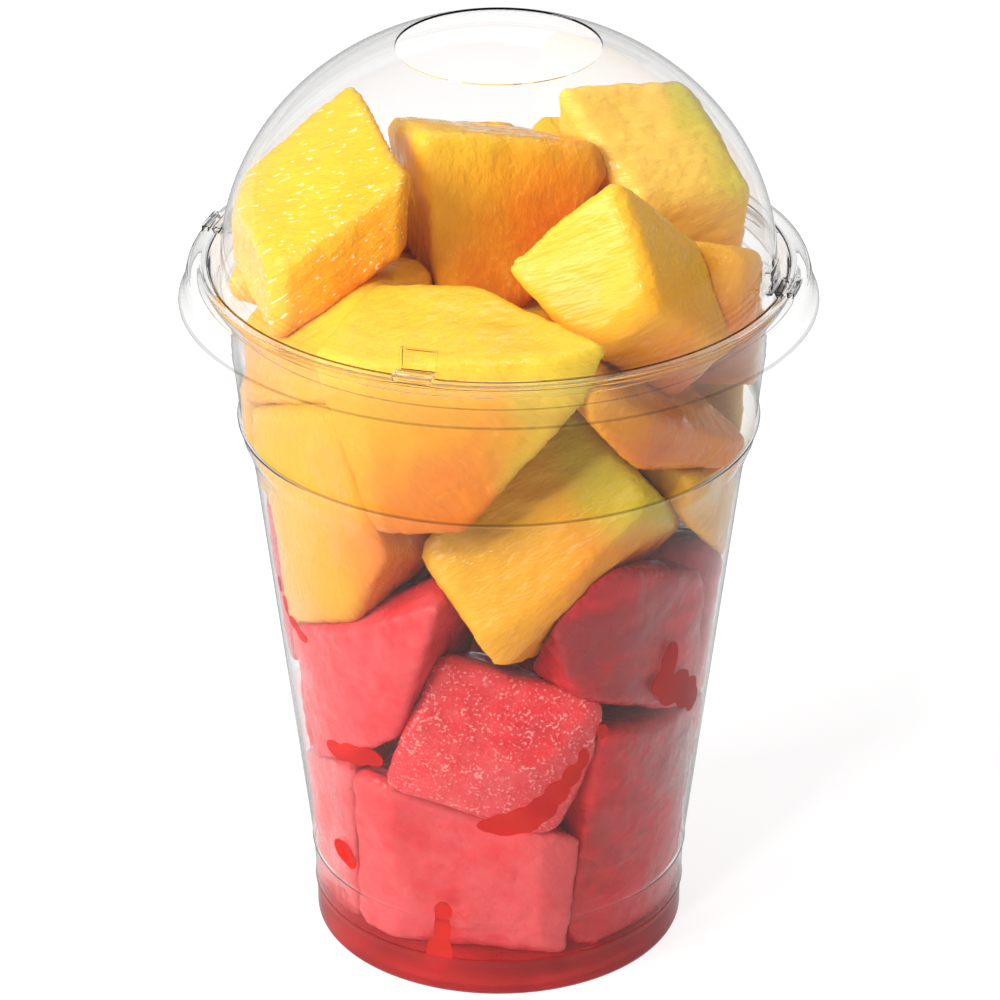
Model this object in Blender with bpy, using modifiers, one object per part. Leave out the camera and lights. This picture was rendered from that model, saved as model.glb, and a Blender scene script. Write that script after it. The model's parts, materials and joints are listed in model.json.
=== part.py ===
"""Fruit cup: a clear cup and domed lid, filled with pineapple and watermelon chunks over a little juice.

Sizes are in millimetres and become metres where a mesh is made. +Z is up, the cup's foot stands on
Z = 0, and the side that the photo shows faces -Y. An azimuth is counted from the front, -Y, towards +X.
"""
import math
from collections import namedtuple

import bmesh
import bpy
from mathutils import Matrix, Vector

MM = 0.001
TURN_STEPS = 48
GAP = 0.3

# Cup
CUP_WALL = 0.6
FOOT_RADIUS = 31.1
FOOT_ROUND = 1.3
FOOT_RING_INNER = 26.0
PUNT_HEIGHT = 1.6
LOW_STEP_Z = 6.6
HIGH_STEP_Z = 14.4
LEDGE_HALF = 0.4
LEDGE_OUT = 0.6
NECK_Z = 86.5
NECK_RADIUS = 40.3
NECK_CURVE = ((0.5, 1.8), (1.3, 3.6), (1.7, 5.85))
STACK_EDGE_Z = 94.35
STACK_EDGE_RADIUS = 42.35
BAND_TOP_Z = 112.0
BAND_TOP_RADIUS = 43.9
RIM_CURVE = ((1.1, 3.6), (1.9, 5.3))
CURL_RADIUS = 47.2
CURL_Z = 118.2
CURL_SECTION_RADIUS = 1.05
CURL_ANGLES = (180, 125, 70, 15, -40)

# Lid
LID_WALL = 0.45
DOME_BASE_Z = 120.3
DOME_RADIUS = 44.3
DOME_HEIGHT = 40.13
DOME_STEPS = 9
HOLE_RADIUS = 16.24
CHANNEL_Z = 117.9
FLANGE_Z = 121.2
SKIRT_RADIUS = 51.0
SKIRT_BOTTOM_Z = 115.1
SHOULDER_BEAD = ((1.6, -0.2), (2.0, 0.0), (2.7, -0.55), (3.4, 0.0), (4.4, 0.0), (5.1, -0.6))
LUG_SIZE = (6.5, 1.0, 3.8)
LUG_RADIUS = 44.45
LUG_Z = 122.9
LUG_AZIMUTH = -15.7
LUG_COUNT = 4

# Juice and chunks
JUICE_LEVEL = 6.5
CHUNK_EDGE = 2.2
MOST_OF_A_FACE = 0.4
FLAT_ANGLE = 2
SAME_DIRECTION = 0.9999
CUT_TOLERANCE = 0.0001
WALL_INSET = 1.5

COLOURS = {
    "clear_plastic": ((0.93, 0.94, 0.93, 0.25), 0.08),
    "pineapple_flesh": ((0.95, 0.55, 0.06, 1.0), 0.35),
    "watermelon_flesh": ((0.80, 0.09, 0.11, 1.0), 0.35),
    "juice": ((0.62, 0.03, 0.03, 0.85), 0.1),
}

# A chunk is a block between an outer face and a smaller copy of it, "depth" further in. The outer face
# is a quadrilateral, "top" and "bottom" wide and "height" high, its top shifted sideways by "skew". It
# looks along "facing" (azimuth, elevation) and is turned by "roll". "lean" shifts the inner copy.
Chunk = namedtuple("Chunk", "name place facing roll top bottom height skew depth inner lean")


def on_wall(azimuth, z):
    """The point just inside the wall at an azimuth and a height."""
    radius = room_radius(z) - WALL_INSET
    angle = math.radians(azimuth)
    return (radius * math.sin(angle), -radius * math.cos(angle), z)


def cup_outline():
    """Outer side of the cup from the axis to the curl, as (radius, z)."""
    foot_corner = [
        (FOOT_RADIUS - FOOT_ROUND + FOOT_ROUND * math.sin(math.radians(a)),
         FOOT_ROUND - FOOT_ROUND * math.cos(math.radians(a)))
        for a in (0, 45, 90)
    ]
    ledge_radius = FOOT_RADIUS + LEDGE_OUT
    curl = [
        (CURL_RADIUS + CURL_SECTION_RADIUS * math.cos(math.radians(a)),
         CURL_Z + CURL_SECTION_RADIUS * math.sin(math.radians(a)))
        for a in CURL_ANGLES
    ]
    return [
        (0.0, PUNT_HEIGHT),
        (FOOT_RING_INNER - PUNT_HEIGHT, PUNT_HEIGHT - 0.2),
        (FOOT_RING_INNER, 0.0),
        *foot_corner,
        (FOOT_RADIUS, LOW_STEP_Z - LEDGE_HALF),
        (FOOT_RADIUS + LEDGE_OUT / 2, LOW_STEP_Z),
        (ledge_radius - LEDGE_OUT / 2, HIGH_STEP_Z - LEDGE_HALF),
        (ledge_radius, HIGH_STEP_Z),
        (NECK_RADIUS, NECK_Z),
        *((NECK_RADIUS + out, NECK_Z + up) for out, up in NECK_CURVE),
        (STACK_EDGE_RADIUS, STACK_EDGE_Z),
        (BAND_TOP_RADIUS, BAND_TOP_Z),
        *((BAND_TOP_RADIUS + out, BAND_TOP_Z + up) for out, up in RIM_CURVE),
        *curl,
    ]


def dome_point(angle, shrink=0.0):
    """A point of the dome's section at an angle from its base, in radians."""
    return (
        (DOME_RADIUS - shrink) * math.cos(angle),
        DOME_BASE_Z + (DOME_HEIGHT - shrink) * math.sin(angle),
    )


def hole_angle():
    """Where the dome's section ends at the hole, as an angle from its base."""
    return math.acos(HOLE_RADIUS / DOME_RADIUS)


def lid_outline():
    """Upper side of the lid from the hole to the skirt's edge, as (radius, z)."""
    dome = [dome_point(hole_angle() * (1 - i / DOME_STEPS)) for i in range(DOME_STEPS + 1)]
    return [
        *dome,
        (DOME_RADIUS, CHANNEL_Z + LID_WALL),
        (DOME_RADIUS + LID_WALL / 2, CHANNEL_Z),
        (DOME_RADIUS + LID_WALL, CHANNEL_Z),
        *((DOME_RADIUS + out, FLANGE_Z + up) for out, up in SHOULDER_BEAD),
        (SKIRT_RADIUS - 0.9, SKIRT_BOTTOM_Z + 2.4),
        (SKIRT_RADIUS, SKIRT_BOTTOM_Z),
    ]


def offset_path(path, distance):
    """The path moved sideways: to its left for a positive distance, with mitred corners."""
    points = [Vector(p) for p in path]
    sides = []
    for a, b in zip(points, points[1:]):
        along = (b - a).normalized()
        sides.append(Vector((-along.y, along.x)))
    moved = []
    for i, point in enumerate(points):
        before = sides[max(i - 1, 0)]
        after = sides[min(i, len(sides) - 1)]
        mitre = (before + after).normalized()
        moved.append(point + mitre * (distance / mitre.dot(after)))
    return [(p.x, p.y) for p in moved]


def room_radius(z):
    """Radius of the space inside the cup and the dome, less the gap, at a height."""
    if z > DOME_BASE_Z:
        up = min(1.0, (z - DOME_BASE_Z) / (DOME_HEIGHT - LID_WALL))
        return (DOME_RADIUS - LID_WALL) * math.sqrt(1 - up * up) - GAP
    below_curl = cup_outline()[:-len(CURL_ANGLES)]
    wall = [p for p in below_curl if p[1] > 0 and p[0] > FOOT_RING_INNER]
    wall.append((DOME_RADIUS + CUP_WALL - LID_WALL, DOME_BASE_Z))
    for (r0, z0), (r1, z1) in zip(wall, wall[1:]):
        if z <= z1:
            return r0 + (r1 - r0) * max(0.0, z - z0) / (z1 - z0) - CUP_WALL - GAP
    return DOME_RADIUS - LID_WALL - GAP


def room_outline(top):
    """Section of the space that food and juice may fill, up to a height."""
    floor = PUNT_HEIGHT + CUP_WALL + GAP
    ledges = [LOW_STEP_Z - LEDGE_HALF, HIGH_STEP_Z - LEDGE_HALF]
    rim = [BAND_TOP_Z + up - CUP_WALL for _, up in RIM_CURVE]
    dome = [DOME_BASE_Z + DOME_HEIGHT * math.sin(hole_angle() * k / 6) for k in range(6)]
    heights = [floor, *ledges, NECK_Z, NECK_Z + NECK_CURVE[1][1], STACK_EDGE_Z, BAND_TOP_Z, rim[0], *dome]
    heights = [z for z in heights if z < top] + [top]
    radii = [min(room_radius(z), DOME_RADIUS - LID_WALL - GAP) for z in heights]
    return [(0.0, floor), *zip(radii, heights), (0.0, top)]


def make_material(name):
    colour, roughness = COLOURS[name]
    material = bpy.data.materials.new(name)
    material.use_nodes = True
    shader = material.node_tree.nodes["Principled BSDF"]
    shader.inputs["Base Color"].default_value = colour
    shader.inputs["Roughness"].default_value = roughness
    shader.inputs["Metallic"].default_value = 0.0
    return material


def new_collection(name):
    collection = bpy.data.collections.new(name)
    bpy.context.scene.collection.children.link(collection)
    return collection


def place_mesh(name, mesh_data, collection, material=None):
    """Turn a bmesh in millimetres into an object in metres."""
    mesh_data.transform(Matrix.Scale(MM, 4))
    mesh = bpy.data.meshes.new(name)
    mesh_data.to_mesh(mesh)
    mesh_data.free()
    obj = bpy.data.objects.new(name, mesh)
    collection.objects.link(obj)
    if material:
        mesh.materials.append(material)
    return obj


def turned(name, outline, closed, collection, material=None):
    """An outline turned round the Z axis with a Screw modifier."""
    section = bmesh.new()
    verts = [section.verts.new((radius, 0, z)) for radius, z in outline]
    for a, b in zip(verts, verts[1:]):
        section.edges.new((a, b))
    if closed:
        section.edges.new((verts[-1], verts[0]))
    obj = place_mesh(name, section, collection, material)
    screw = obj.modifiers.new("Turn", "SCREW")
    screw.axis = "Z"
    screw.angle = math.tau
    screw.steps = TURN_STEPS
    screw.render_steps = TURN_STEPS
    screw.use_merge_vertices = True
    screw.merge_threshold = 0.00001
    screw.use_normal_calculate = True
    return obj


def as_cutter(obj):
    obj.hide_render = True
    obj.display_type = "WIRE"
    return obj


def add_boolean(obj, cutter, operation):
    modifier = obj.modifiers.new(operation.title(), "BOOLEAN")
    modifier.operation = operation
    modifier.object = cutter
    modifier.solver = "EXACT"
    return modifier


def facing_axes(chunk):
    """Outward, sideways and upward directions of a chunk's outer face."""
    azimuth, elevation = (math.radians(a) for a in chunk.facing)
    roll = math.radians(chunk.roll)
    outward = Vector((
        math.sin(azimuth) * math.cos(elevation),
        -math.cos(azimuth) * math.cos(elevation),
        math.sin(elevation),
    ))
    level = Vector((math.cos(azimuth), math.sin(azimuth), 0.0))
    rising = outward.cross(level)
    sideways = level * math.cos(roll) + rising * math.sin(roll)
    upward = rising * math.cos(roll) - level * math.sin(roll)
    return outward, sideways, upward


def chunk_block(chunk):
    """The chunk's block: a cube whose corners move to the outer face and its inner copy."""
    outward, sideways, upward = facing_axes(chunk)
    block = bmesh.new()
    bmesh.ops.create_cube(block, size=2.0)
    for vert in block.verts:
        side, inner, up = vert.co.x, vert.co.y > 0, vert.co.z
        width = chunk.top if up > 0 else chunk.bottom
        across = (side * width + up * chunk.skew) / 2
        along = up * chunk.height / 2
        depth = 0.0
        if inner:
            across = across * chunk.inner + chunk.lean[0]
            along = along * chunk.inner + chunk.lean[1]
            depth = chunk.depth
        vert.co = Vector(chunk.place) + sideways * across + upward * along - outward * depth
    block.normal_update()
    return block


def face_planes(block):
    """Each face's outward normal and its distance from the origin, one for each direction."""
    planes = []
    for face in block.faces:
        plane = (face.normal.copy(), face.normal.dot(face.calc_center_median()))
        if all(plane[0].dot(other[0]) < SAME_DIRECTION for other in planes):
            planes.append(plane)
    return planes


def trim(block, normal, distance, fill):
    """Cut away what lies on the inner side of a plane, and close the cut."""
    geometry = list(block.verts) + list(block.edges) + list(block.faces)
    cut = bmesh.ops.bisect_plane(block, geom=geometry, plane_co=normal * distance, plane_no=normal,
                                 dist=CUT_TOLERANCE, clear_inner=True)
    if fill:
        edges = [e for e in cut["geom_cut"] if isinstance(e, bmesh.types.BMEdge)]
        bmesh.ops.contextual_create(block, geom=edges)
        bmesh.ops.recalc_face_normals(block, faces=block.faces)


def soften(block):
    """The block with its edges and corners cut back: a hull round its faces, each drawn in a little."""
    soft = bmesh.new()
    for face in block.faces:
        centre = face.calc_center_median()
        for vert in face.verts:
            inward = centre - vert.co
            soft.verts.new(vert.co + inward * min(MOST_OF_A_FACE, CHUNK_EDGE / inward.length))
    block.free()
    bmesh.ops.convex_hull(soft, input=soft.verts)
    bmesh.ops.dissolve_limit(soft, angle_limit=math.radians(FLAT_ANGLE), verts=soft.verts, edges=soft.edges)
    return soft


def nearest_side(points, planes):
    """The plane that a group of points reaches behind the least, and by how much."""
    reach = [(distance + GAP - min(normal.dot(p) for p in points), i)
             for i, (normal, distance) in enumerate(planes)]
    depth, index = min(reach)
    return depth, planes[index]


def settle(chunks, room, collection):
    """Blocks in order, each cut flat where it would run into one that is already in place."""
    placed = []
    for chunk in chunks:
        block = chunk_block(chunk)
        probe = place_mesh("probe", block.copy(), collection)
        add_boolean(probe, room, "INTERSECT")
        bpy.context.view_layer.update()
        inside = bmesh.new()
        depsgraph = bpy.context.evaluated_depsgraph_get()
        inside.from_object(probe, depsgraph)
        inside.transform(Matrix.Scale(1 / MM, 4))
        bpy.data.objects.remove(probe)
        for other in placed:
            points = [v.co for v in inside.verts]
            depth, (normal, distance) = nearest_side(points, other["planes"])
            if depth <= 0 or nearest_side(other["points"], face_planes(block))[0] <= 0:
                continue
            trim(block, normal, distance + GAP, fill=True)
            trim(inside, normal, distance + GAP, fill=False)
            if not inside.verts:
                raise ValueError(f"{chunk.name} is cut away by {other['chunk'].name}")
        placed.append({
            "chunk": chunk,
            "planes": face_planes(block),
            "points": [v.co.copy() for v in inside.verts],
            "block": block,
        })
        inside.free()
    return placed


def build_cup(collection, material):
    outer = cup_outline()
    inner = offset_path(outer, CUP_WALL)
    inner[0] = (0.0, inner[0][1])
    return turned("cup", outer + inner[::-1], False, collection, material)


def build_lid(collection, cutters, material):
    upper = lid_outline()
    lower = offset_path(upper, -LID_WALL)
    lid = turned("lid", upper + lower[::-1], True, collection, material)
    for i in range(LUG_COUNT):
        azimuth = math.radians(LUG_AZIMUTH + i * 360 / LUG_COUNT)
        lug = bmesh.new()
        bmesh.ops.create_cube(lug, size=1.0)
        lug.transform(
            Matrix.Rotation(azimuth, 4, "Z")
            @ Matrix.Translation((0, -LUG_RADIUS, LUG_Z))
            @ Matrix.Diagonal((*LUG_SIZE, 1.0))
        )
        add_boolean(lid, as_cutter(place_mesh(f"lug_{i + 1}", lug, cutters)), "UNION")
    return lid


def build_chunks(chunks, room, collection, cutters, material_of):
    """Every chunk with soft edges, trimmed to the room, and what the juice must leave free."""
    wet = []
    for piece in settle(chunks, room, cutters):
        chunk, block = piece["chunk"], piece["block"]
        if min(p.z for p in piece["points"]) < JUICE_LEVEL + GAP:
            grown = block.copy()
            for vert in grown.verts:
                vert.co += vert.normal * vert.calc_shell_factor() * GAP
            wet.append(as_cutter(place_mesh(f"{chunk.name}_room", grown, cutters)))
        obj = place_mesh(chunk.name, soften(block), collection, material_of(chunk))
        add_boolean(obj, room, "INTERSECT")
    return wet


def build_juice(collection, wet, material):
    juice = turned("juice", room_outline(JUICE_LEVEL), False, collection, material)
    for cutter in wet:
        add_boolean(juice, cutter, "DIFFERENCE")
    return juice


def pineapple_chunks():
    """In the order in which they hold their place: what the photo shows whole comes first."""
    return [
        Chunk("pineapple_top_right", (26, 9, 138), (24, 45), -4, 23, 21, 22, -8, 18, 0.95, (2, -9)),
        Chunk("pineapple_front", (-9, -39, 105), (-8, -4), 5, 53, 14, 32, 10, 22, 0.35, (-5, 13)),
        Chunk("pineapple_top_front", (14, -27, 130), (-30, 22), 48, 24, 15, 20, 1, 20, 0.9, (0, -10)),
        Chunk("pineapple_top_left", (-29, -4, 137), (-52, 56), -22, 29, 25, 26, -3, 11, 1.0, (3, -7)),
        Chunk("pineapple_top_middle", (1, -3, 128), (10, 14), -8, 35, 13, 28, 3, 22, 0.8, (-5, 2)),
        Chunk("pineapple_rim_right", (37, -18, 123), (45, 10), -25, 17, 10, 14, -4, 18, 0.9, (0, 0)),
        Chunk("pineapple_low_front", (6, -33, 88), (-12, 22), 48, 35, 39, 23, 2, 24, 0.85, (-1, -4)),
        Chunk("pineapple_low_left", (-27, -28, 88), (-48, -5), 22, 40, 38, 38, 12, 26, 0.7, (0, 4)),
        Chunk("pineapple_right", (29, -29, 106), (48, -5), -20, 48, 36, 18, -8, 26, 0.7, (0, 2)),
        Chunk("pineapple_low_right", (36, -13, 84), (72, -5), -12, 34, 30, 27, -4, 18, 0.9, (0, 2)),
        Chunk("pineapple_rim_left", (-31, -24, 114), (-54, 4), 5, 38, 34, 24, 0, 28, 0.8, (0, 0)),
        Chunk("pineapple_top_back", (-4, 21, 132), (0, 35), -1, 14, 15, 8, 0, 14, 0.9, (0, 0)),
        Chunk("pineapple_middle", (3, -8, 114), (10, 70), 20, 28, 26, 28, 2, 24, 0.9, (0, 0)),
    ]


def watermelon_chunks():
    return [
        Chunk("watermelon_low_right", (25, -20, 27), (50, -6), -8, 30, 28, 42, -4, 26, 0.85, (0, 0)),
        Chunk("watermelon_front", (-1, -33, 49), (-2, 12), -16, 30, 29, 25, 4, 24, 0.9, (6, -3)),
        Chunk("watermelon_left", (-24, -28, 58), (-48, -6), 32, 50, 29, 23, 22, 26, 0.8, (0, 0)),
        Chunk("watermelon_right", (23, -28, 65), (46, -6), -23, 40, 31, 26, -18, 26, 0.8, (0, 0)),
        Chunk("watermelon_low_front", (-4, -29, 24), (-10, -6), -2, 42, 40, 34, 0, 24, 0.9, (0, 0)),
        Chunk("watermelon_low_left", (-28, -12, 22), (-66, -6), 20, 32, 29, 32, 12, 24, 0.9, (0, 0)),
        Chunk("watermelon_foot_right", on_wall(100, 24), (100, -6), 6, 34, 32, 38, 2, 26, 0.8, (0, 0)),
        Chunk("watermelon_foot_back", on_wall(158, 23), (158, -6), -6, 34, 32, 38, -3, 26, 0.8, (0, 0)),
        Chunk("watermelon_foot_left", on_wall(-124, 22), (-124, -6), 5, 34, 30, 36, 4, 26, 0.8, (0, 0)),
        Chunk("watermelon_side_right", on_wall(97, 56), (97, -6), -14, 36, 30, 30, 0, 24, 0.8, (0, 0)),
        Chunk("watermelon_back_right", on_wall(152, 60), (152, -6), 12, 36, 38, 30, 4, 26, 0.8, (0, 0)),
        Chunk("watermelon_back_left", on_wall(-150, 58), (-150, -6), -10, 38, 34, 30, -4, 26, 0.8, (0, 0)),
        Chunk("watermelon_side_left", on_wall(-104, 62), (-104, -6), 16, 30, 36, 30, 2, 24, 0.8, (0, 0)),
    ]


def hidden_pineapple_chunks():
    """The cup's far side, filled like the side that the photo shows."""
    return [
        Chunk("pineapple_side_right", on_wall(110, 90), (110, -6), 20, 34, 28, 34, 4, 26, 0.7, (0, 0)),
        Chunk("pineapple_back_right", on_wall(158, 88), (158, -6), -12, 36, 34, 30, -4, 26, 0.75, (0, 0)),
        Chunk("pineapple_back_left", on_wall(-150, 90), (-150, -6), 14, 38, 30, 32, 4, 26, 0.7, (0, 0)),
        Chunk("pineapple_side_left", on_wall(-100, 89), (-100, -6), -8, 34, 32, 30, -6, 26, 0.7, (0, 0)),
        Chunk("pineapple_rim_far_left", on_wall(-110, 112), (-110, 4), 6, 34, 34, 20, -4, 26, 0.7, (0, 0)),
        Chunk("pineapple_rim_side", on_wall(98, 108), (98, 4), -12, 34, 34, 16, 4, 24, 0.7, (0, 0)),
        Chunk("pineapple_rim_back", on_wall(148, 115), (148, 4), 10, 38, 36, 22, 0, 28, 0.7, (0, 0)),
        Chunk("pineapple_rim_far", on_wall(-155, 117), (-155, 4), -8, 38, 34, 24, 4, 28, 0.7, (0, 0)),
    ]


def main():
    for obj in list(bpy.data.objects):
        bpy.data.objects.remove(obj, do_unlink=True)
    parts = new_collection("Fruit cup")
    cutters = new_collection("Cutters")
    materials = {name: make_material(name) for name in COLOURS}
    flesh = {
        "pineapple": materials["pineapple_flesh"],
        "watermelon": materials["watermelon_flesh"],
    }
    room = as_cutter(turned("room", room_outline(dome_point(hole_angle())[1]), False, cutters))
    build_cup(parts, materials["clear_plastic"])
    build_lid(parts, cutters, materials["clear_plastic"])
    chunks = pineapple_chunks() + watermelon_chunks() + hidden_pineapple_chunks()
    wet = build_chunks(chunks, room, parts, cutters, lambda chunk: flesh[chunk.name.split("_")[0]])
    build_juice(parts, wet, materials["juice"])


main()
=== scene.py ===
"""Fruit cup: clear moulded cup and dome lid round cut pineapple, watermelon and a little juice.

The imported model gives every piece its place. Each operator below makes one piece or one group of like
pieces, and the panel lists them. Outlines are given in millimetres and meshes are in metres, +Z is up, and
the front of the cup faces -Y.
"""
import json
import math
import random

import bpy
from mathutils import Euler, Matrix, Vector

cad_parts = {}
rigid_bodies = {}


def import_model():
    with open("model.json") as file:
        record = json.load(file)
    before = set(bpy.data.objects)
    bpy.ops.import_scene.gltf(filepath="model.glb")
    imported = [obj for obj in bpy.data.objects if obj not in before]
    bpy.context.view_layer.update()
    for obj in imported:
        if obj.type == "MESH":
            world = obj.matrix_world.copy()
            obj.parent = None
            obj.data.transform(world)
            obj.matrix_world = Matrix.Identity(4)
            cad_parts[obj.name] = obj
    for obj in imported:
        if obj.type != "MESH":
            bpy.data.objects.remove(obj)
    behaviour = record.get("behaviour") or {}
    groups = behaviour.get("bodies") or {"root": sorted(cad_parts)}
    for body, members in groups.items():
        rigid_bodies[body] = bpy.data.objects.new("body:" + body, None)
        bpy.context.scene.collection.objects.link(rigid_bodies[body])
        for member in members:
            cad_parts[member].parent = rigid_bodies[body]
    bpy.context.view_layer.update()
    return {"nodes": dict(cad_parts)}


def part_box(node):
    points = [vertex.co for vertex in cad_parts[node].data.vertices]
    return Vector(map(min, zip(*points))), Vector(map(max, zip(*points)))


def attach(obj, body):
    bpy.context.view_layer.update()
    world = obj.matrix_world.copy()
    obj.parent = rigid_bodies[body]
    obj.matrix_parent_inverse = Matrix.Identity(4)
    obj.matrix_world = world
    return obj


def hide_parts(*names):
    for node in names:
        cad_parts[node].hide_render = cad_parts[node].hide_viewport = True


bl_info = {
    "name": "Fruit cup",
    "version": (1, 0, 0),
    "blender": (4, 5, 0),
    "location": "View3D > Sidebar > Fruit cup",
    "description": "Clear cup and dome lid with cut pineapple, watermelon and juice",
    "category": "Object",
}

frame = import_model()
MM = 0.001

# The foot, ledges, neck, stacking edge and rim band of the cup, as (radius, height) in millimetres.
CUP_SIDE = (
    (31.1, 1.3), (31.1, 5.6), (31.2, 6.3), (31.45, 6.75), (31.35, 7.4), (31.5, 13.4), (31.6, 14.1),
    (31.85, 14.55), (31.75, 15.2), (35.9, 50.0), (40.1, 85.0), (40.45, 87.2), (41.2, 89.4), (42.0, 91.4),
    (42.15, 92.4), (42.6, 93.5), (42.8, 94.1), (42.6, 94.7), (42.3, 95.2), (43.1, 103.0), (43.85, 111.0),
    (44.2, 113.0), (45.0, 115.6), (45.75, 117.2),
)

# Heights of two edges where a fine dark line is painted into the plastic, as the shade that refraction in
# the wall shows there, with half the width of each, in millimetres, and how dark it is: the stacking edge
# of the cup and the lower edge of the lid's skirt.
PAINTED_EDGE_LINES = ((94.1, 0.25, 0.6), (115.3, 0.18, 0.45))

# The underside of the cup from its middle out, as (radius, height), and the centre of its rounded corner,
# in millimetres.
CUP_FOOT = ((0.5, 1.6), (24.0, 1.45), (25.2, 1.0), (25.9, 0.25), (26.4, 0.0), (29.8, 0.0))
FOOT_CORNER = (29.8, 1.3)

# The centre and radius of the cup's rolled rim, in millimetres.
RIM_CENTRE = (47.2, 118.2)
RIM_RADIUS = 1.05

# The lid from the dome's foot out, by the channel and the bead to the skirt, as (radius, height) in
# millimetres.
LID_SHOULDER = (
    (44.3, 119.4), (44.35, 118.5), (44.5, 118.0), (44.8, 117.95), (45.05, 118.4), (45.6, 120.2),
    (45.95, 120.95), (46.3, 121.15), (46.7, 120.9), (47.0, 120.65), (47.35, 120.8), (47.7, 121.1),
    (48.2, 121.2), (48.7, 121.15), (49.2, 120.8), (49.5, 120.2), (49.8, 119.0), (50.1, 117.4),
    (50.4, 116.2), (51.0, 115.1),
)

# How much wider than its outline the whole lid is drawn, in millimetres at the skirt.
LID_EASE = 0.8

# The four stacking lugs: half their width, the heights that they start and end at and how far they stand
# out, in millimetres, and the azimuth of the first and the angle between them in degrees.
LUG_HALF_WIDTH = 3.4
LUG_FOOT = 121.0
LUG_TOP = 124.9
LUG_DEPTH = 0.9
LUG_AZIMUTH = -15.7
LUG_SPACING = 90

# Room between the fruit and the wall, in millimetres.
FRUIT_GAP = 0.12

# The unevenness of the fruit, coarse to fine, as (size, height) in metres, and how often its edges are
# smoothed.
PINEAPPLE_RELIEF = ((0.014, 0.0016), (0.0035, 0.0006), (0.0012, 0.0005))
PINEAPPLE_ROUNDING = 5
WATERMELON_RELIEF = ((0.016, 0.0018), (0.004, 0.0006), (0.0014, 0.0003))
WATERMELON_ROUNDING = 7

# Colours of the flesh from its palest to its deepest, each with its place between 0 and 1.
PINEAPPLE_TONES = (
    (0.0, (0.95, 0.50, 0.030)),
    (0.35, (0.93, 0.40, 0.014)),
    (0.7, (0.88, 0.25, 0.008)),
    (1.0, (0.74, 0.13, 0.006)),
)
WATERMELON_TONES = (
    (0.0, (0.86, 0.10, 0.11)),
    (0.35, (0.84, 0.036, 0.046)),
    (0.7, (0.66, 0.014, 0.020)),
    (1.0, (0.38, 0.006, 0.008)),
)

# The underside of the juice from its middle out, as (radius, height), how far it reaches into the wall and
# how high it climbs there, in millimetres.
JUICE_BASE = ((0.5, 1.95), (24.1, 1.8), (25.4, 1.3), (26.2, 0.4), (26.5, 0.2), (29.8, 0.2))
INTO_WALL = 0.3
MENISCUS = 0.5

# The films of juice: half their thickness, the cell of their mesh and how far they stand into the wall, in
# millimetres.
FILM_HALF_THICKNESS = 0.9
FILM_CELL = 0.3
FILM_INTO_WALL = 0.1

# Each lamp's name, place and size in metres, and the property that holds its power.
LAMPS = (
    ("key_light", (-0.68, -0.42, 0.52), 0.5, "key_power"),
    ("glint_light", (-0.25, -0.6, 0.75), 0.08, "glint_power"),
    ("top_light", (0.05, 0.25, 0.85), 0.5, "top_power"),
)
LAMP_TARGET = (0, 0, 0.08)

# How bright the white room is through the plastic, in its gloss and on the fruit.
ROOM_SEEN = 1.0
ROOM_MIRRORED = 0.42
ROOM_ON_FRUIT = 0.16

# The camera: focal length and sensor in millimetres, shift, place in metres and tilt down in degrees.
CAMERA_LENS = 175.9
CAMERA_SENSOR = 36.0
CAMERA_SHIFT = 0.0012
CAMERA_PLACE = (0.0, -0.7211, 0.4416)
CAMERA_TILT = 26.813


def deselect_all():
    if bpy.context.object and bpy.context.object.mode != "OBJECT":
        bpy.ops.object.mode_set(mode="OBJECT")
    bpy.ops.object.select_all(action="DESELECT")


def make_active(obj):
    deselect_all()
    obj.select_set(True)
    bpy.context.view_layer.objects.active = obj


def apply_modifiers(obj):
    make_active(obj)
    for modifier in list(obj.modifiers):
        bpy.ops.object.modifier_apply(modifier=modifier.name)


def finish_piece(obj, slot, material, *replaced):
    """Give a piece its material and its body, and hide the nodes that it stands for; the slot is not used.
    """
    obj.data.materials.clear()
    obj.data.materials.append(material)
    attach(obj, "root")
    if replaced:
        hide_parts(*replaced)


def smooth(obj, angle):
    """Smooth shading, but sharp at edges steeper than an angle in degrees."""
    make_active(obj)
    bpy.ops.object.shade_smooth_by_angle(angle=math.radians(angle))


def turned(name, outline, steps, close_foot=False):
    """A surface of rings: a circle extruded and resized along an outline of (radius, z) in millimetres."""
    deselect_all()
    radius, z = outline[0]
    bpy.ops.mesh.primitive_circle_add(
        vertices=steps, radius=radius * MM, fill_type="NOTHING", location=(0, 0, z * MM)
    )
    obj = bpy.context.object
    obj.name = name
    bpy.ops.object.transform_apply(location=True, rotation=True, scale=True)
    bpy.ops.object.mode_set(mode="EDIT")
    bpy.ops.mesh.select_all(action="SELECT")
    bpy.context.tool_settings.mesh_select_mode = (False, True, False)
    for next_radius, next_z in outline[1:]:
        bpy.ops.mesh.extrude_region_move(
            TRANSFORM_OT_translate={"value": (0, 0, (next_z - z) * MM)}
        )
        share = next_radius / radius
        bpy.ops.transform.resize(value=(share, share, 1), center_override=(0, 0, next_z * MM))
        radius, z = next_radius, next_z
    if close_foot:
        bpy.ops.mesh.merge(type="CENTER")
    bpy.ops.mesh.select_all(action="SELECT")
    bpy.ops.mesh.normals_make_consistent(inside=False)
    bpy.ops.object.mode_set(mode="OBJECT")
    bpy.context.tool_settings.mesh_select_mode = (True, False, False)
    return obj


def widen(obj, distance):
    """Make a piece wider all round, by a distance in millimetres at its widest."""
    radius = max(math.hypot(v.co.x, v.co.y) for v in obj.data.vertices)
    share = 1 + distance * MM / radius
    make_active(obj)
    bpy.ops.object.mode_set(mode="EDIT")
    bpy.ops.mesh.select_all(action="SELECT")
    bpy.ops.transform.resize(value=(share, share, 1), center_override=(0, 0, 0))
    bpy.ops.object.mode_set(mode="OBJECT")


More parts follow.
